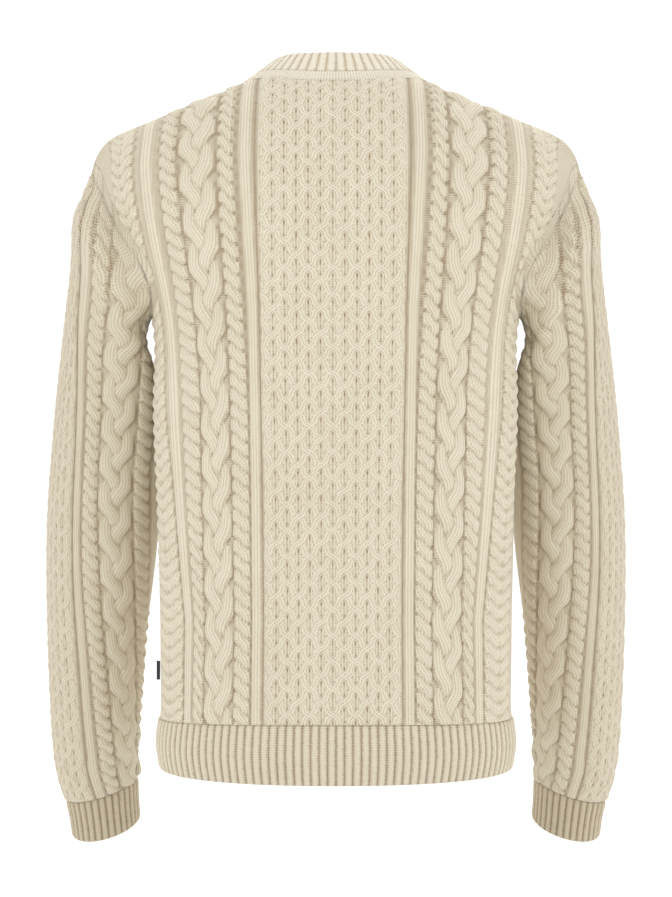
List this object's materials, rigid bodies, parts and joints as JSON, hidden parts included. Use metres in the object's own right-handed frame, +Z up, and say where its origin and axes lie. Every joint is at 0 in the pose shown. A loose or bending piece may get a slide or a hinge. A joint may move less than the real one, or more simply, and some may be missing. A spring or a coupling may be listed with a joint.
{
  "type": "cable knit sweater",
  "caption": "Long-sleeved crew neck sweater in chunky cream cable knit, open at neck, hem and cuffs, worn on the upper body for warmth.",
  "frame": {"origin": "middle of the neck opening, level with the neck ends of the shoulders, where the wearer's shoulders carry it", "axes": "+Z up towards the collar, -Y towards the front of the garment, +X towards the wearer's left"},
  "size_m": [0.6114, 0.3053, 0.8075],
  "materials": {
    "back_panel": "matt cable knit",
    "front_panel": "matt cable knit",
    "left_sleeve": "matt cable knit",
    "right_sleeve": "matt cable knit",
    "hem_rib_back": "matt rib knit",
    "hem_rib_front": "matt rib knit",
    "left_cuff": "matt rib knit",
    "right_cuff": "matt rib knit",
    "neck_binding": "matt rib knit",
    "collar": "matt rib knit",
    "side_label": "matt woven"
  },
  "bodies": {
    "root": {"back_panel": "back_panel", "front_panel": "front_panel", "left_sleeve": "left_sleeve", "right_sleeve": "right_sleeve", "hem_rib_back": "hem_rib_back", "hem_rib_front": "hem_rib_front", "left_cuff": "left_cuff", "right_cuff": "right_cuff", "neck_binding": "neck_binding", "collar": "collar", "side_label": "side_label"}
  },
  "joints": []
}
